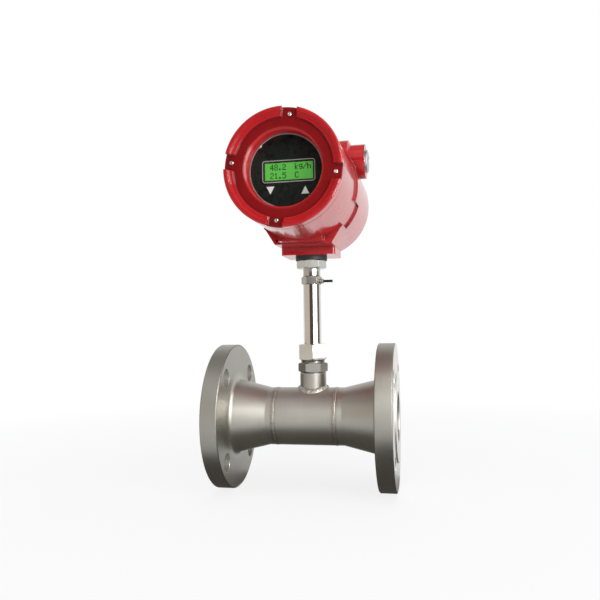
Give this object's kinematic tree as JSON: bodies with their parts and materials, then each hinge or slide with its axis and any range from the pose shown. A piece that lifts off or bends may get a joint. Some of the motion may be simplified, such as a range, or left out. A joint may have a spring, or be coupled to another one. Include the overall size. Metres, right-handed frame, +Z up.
{
  "type": "thermal mass flow meter",
  "caption": "Flanged inline thermal mass flow meter: a weld-neck pipe spool with a probe on a swivelling stem that carries a round red two-chamber head with a digital display.",
  "frame": {"origin": "centre of the inlet flange's raised face", "axes": "+X with the flow along the pipe, +Z up the probe's stem, -Y towards the side the display faces"},
  "size_m": [0.1905, 0.2132, 0.3664],
  "materials": {
    "flange_steel": "satin machined stainless steel",
    "pipe_steel": "satin stainless pipe",
    "weld_steel": "brushed weld bead",
    "fitting_steel": "turned stainless steel",
    "nut_steel": "bright turned stainless steel",
    "stem_steel": "polished stainless tube",
    "sensor_steel": "stainless steel",
    "lock_steel": "blackened steel",
    "body_paint": "gloss red powder coat on cast aluminium",
    "cover_paint": "gloss red powder coat on cast aluminium",
    "gasket_rubber": "matt black rubber",
    "window_seal": "pale grey silicone",
    "window_glass": "clear toughened glass",
    "retainer_metal": "turned aluminium",
    "plug_zinc": "zinc plated steel",
    "screw_steel": "bright steel",
    "faceplate_black": "gloss black overlay",
    "border_grey": "pale grey print",
    "display_green": "backlit green display",
    "board_green": "green circuit board",
    "spacer_brass": "plain brass",
    "part_black": "moulded black plastic",
    "terminal_plastic": "moulded green plastic",
    "feed_resin": "potting resin",
    "cable_grey": "grey cable sheath"
  },
  "bodies": {
    "flow_body": {"inlet_flange": "flange_steel", "outlet_flange": "flange_steel", "flow_pipe": "pipe_steel", "inlet_weld": "weld_steel", "outlet_weld": "weld_steel", "branch_coupling": "pipe_steel", "branch_weld": "weld_steel", "fitting_body": "fitting_steel", "compression_nut": "nut_steel", "front_ferrule": "fitting_steel", "back_ferrule": "fitting_steel", "probe_stem": "stem_steel", "swivel_collar": "fitting_steel", "lock_screw": "lock_steel", "sensor_shield": "sensor_steel", "sensor_header": "sensor_steel", "velocity_sensor": "sensor_steel", "temperature_sensor": "sensor_steel", "sensor_cable": "cable_grey"},
    "head": {"enclosure_body": "body_paint", "swivel_adapter": "fitting_steel", "base_gasket": "gasket_rubber", "conduit_plug": "plug_zinc", "faceplate": "faceplate_black", "display_border": "border_grey", "display_module": "display_green", "faceplate_screws": "screw_steel", "display_board": "board_green", "main_board": "board_green", "front_spacers": "spacer_brass", "mid_spacers": "spacer_brass", "rear_spacers": "spacer_brass", "board_parts": "part_black", "terminal_board": "board_green", "terminal_blocks": "terminal_plastic", "terminal_spacers": "spacer_brass", "feedthrough": "feed_resin", "earth_screw": "spacer_brass", "sensor_tail": "cable_grey"},
    "front_seal": {"front_oring": "gasket_rubber"},
    "front_cover": {"front_cover": "cover_paint", "cover_screws": "screw_steel", "window_gasket": "window_seal", "window_glass": "window_glass", "window_retainer": "retainer_metal"},
    "rear_seal": {"rear_oring": "gasket_rubber"},
    "rear_cover": {"rear_cover": "cover_paint"}
  },
  "joints": [
    {"name": "head_swivel", "type": "hinge", "parent": "flow_body", "child": "head", "pos_m": [0.1016, 0, 0.15], "axis": [0, 0, 1], "range_deg": [-170, 170]},
    {"name": "front_cover_draw", "type": "slide", "parent": "head", "child": "front_seal", "axis": [0, -1, 0], "range_m": [0, 0.017]},
    {"name": "front_cover_turn", "type": "hinge", "parent": "front_seal", "child": "front_cover", "pos_m": [0.1016, -0.124, 0.2338], "axis": [0, -1, 0], "range_deg": [0, 2880]},
    {"name": "rear_cover_draw", "type": "slide", "parent": "head", "child": "rear_seal", "axis": [0, 1, 0], "range_m": [0, 0.017]},
    {"name": "rear_cover_turn", "type": "hinge", "parent": "rear_seal", "child": "rear_cover", "pos_m": [0.1016, 0.032, 0.2338], "axis": [0, 1, 0], "range_deg": [0, 2880]}
  ],
  "couplings": [
    {"joint": "front_cover_draw", "follows": "front_cover_turn", "m_per_rad": 0.00033693},
    {"joint": "rear_cover_draw", "follows": "rear_cover_turn", "m_per_rad": 0.00033693}
  ]
}
